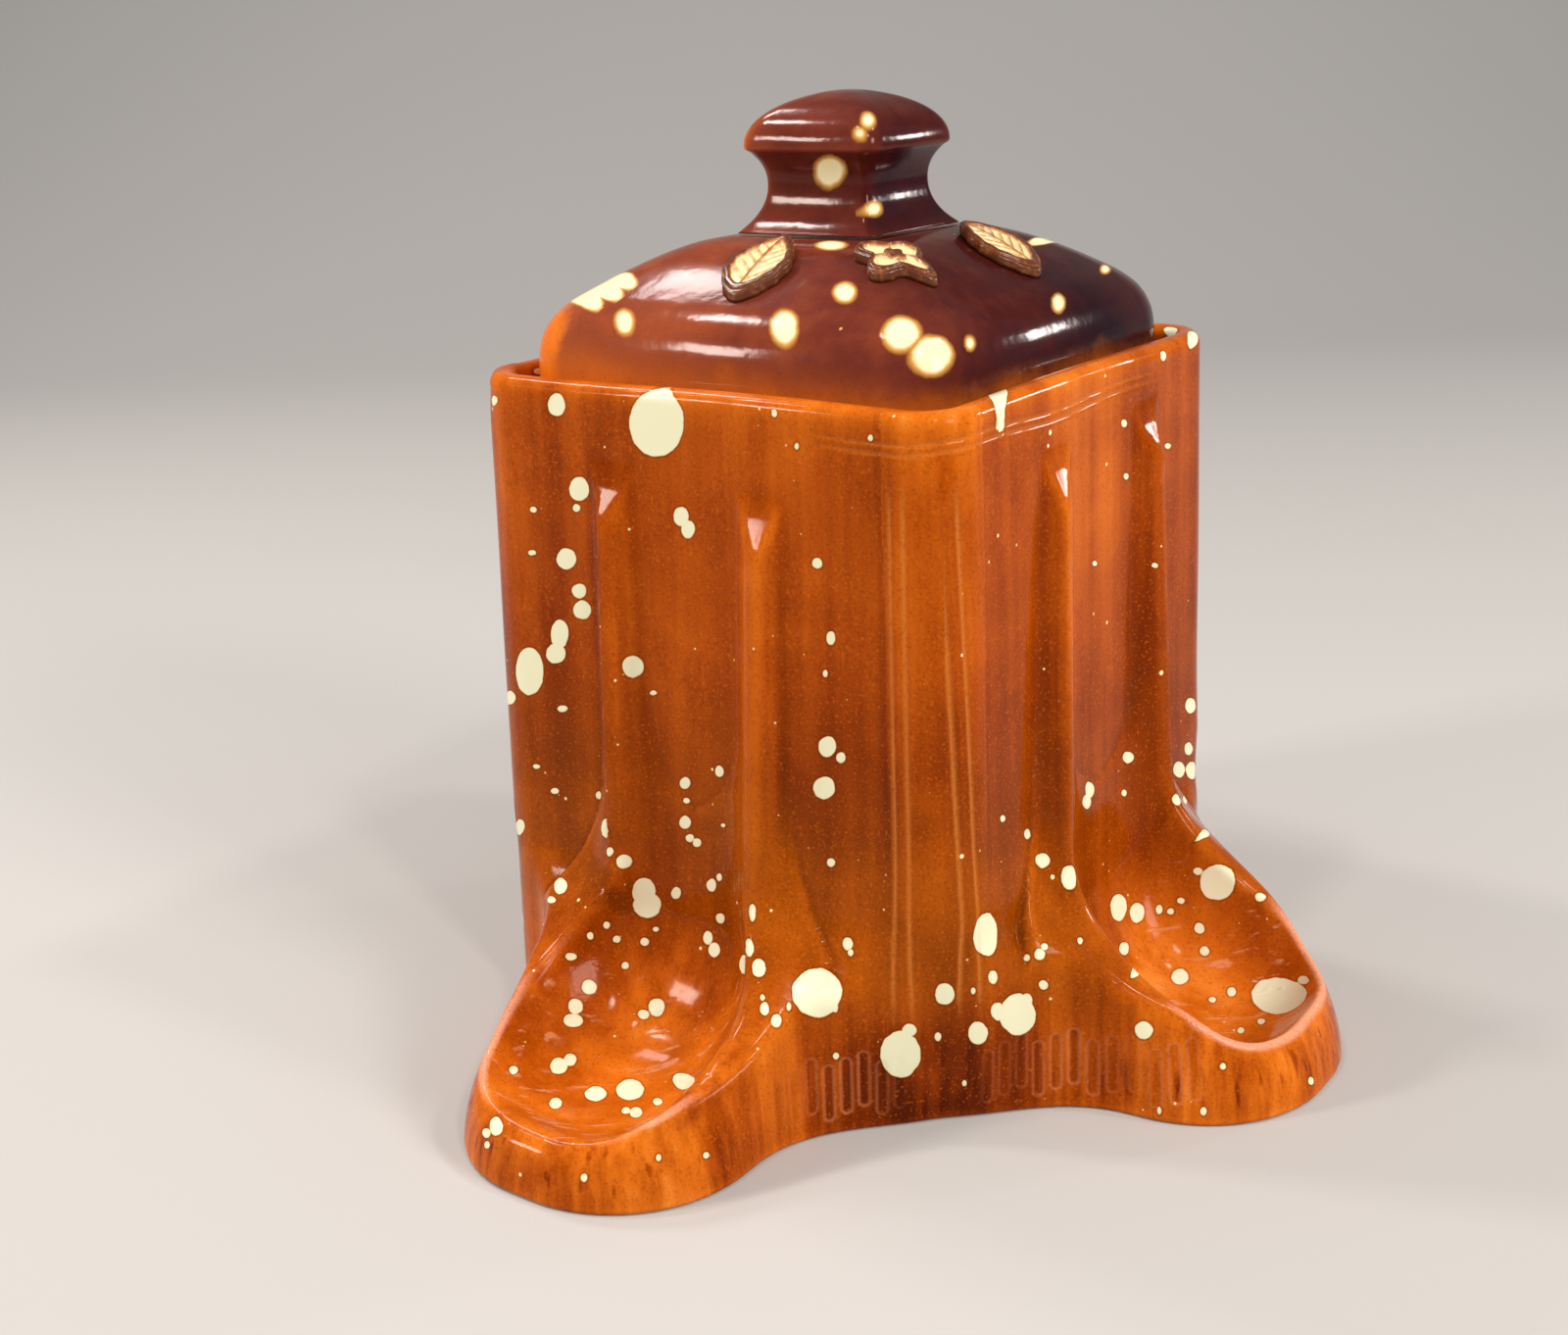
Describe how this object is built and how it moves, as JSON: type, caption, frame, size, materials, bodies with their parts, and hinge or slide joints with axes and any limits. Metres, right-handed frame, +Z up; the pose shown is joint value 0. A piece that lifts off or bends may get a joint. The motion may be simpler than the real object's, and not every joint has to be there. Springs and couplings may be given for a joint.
{
  "type": "butter crock",
  "caption": "Square glazed stoneware crock with a lift-off domed lid, a square knob, and a spoon rest with a railed handle channel at the foot of neighbouring walls.",
  "frame": {"origin": "on the crock's vertical axis, in the plane of its flat base", "axes": "+Z up; -Y is the front wall with the first spoon rest, +X is the right wall with the second"},
  "size_m": [0.1795, 0.1872, 0.2048],
  "materials": {
    "crock_body": "glossy amber glaze with cream spatter",
    "lid_ledge": "glossy amber glaze",
    "lid": "glossy dark brown glaze with cream spatter",
    "lid_knob": "glossy dark brown glaze",
    "relief_front": "glossy cream glaze with brown edges",
    "relief_corner": "glossy cream glaze with brown edges",
    "relief_right": "glossy cream glaze with brown edges"
  },
  "bodies": {
    "crock": {"crock_body": "crock_body", "lid_ledge": "lid_ledge"},
    "lid": {"lid": "lid", "lid_knob": "lid_knob", "relief_front": "relief_front", "relief_corner": "relief_corner", "relief_right": "relief_right"}
  },
  "joints": [
    {"name": "lid_lift", "type": "slide", "parent": "crock", "child": "lid", "axis": [0, 0, 1], "range_m": [0, 0.12]}
  ]
}
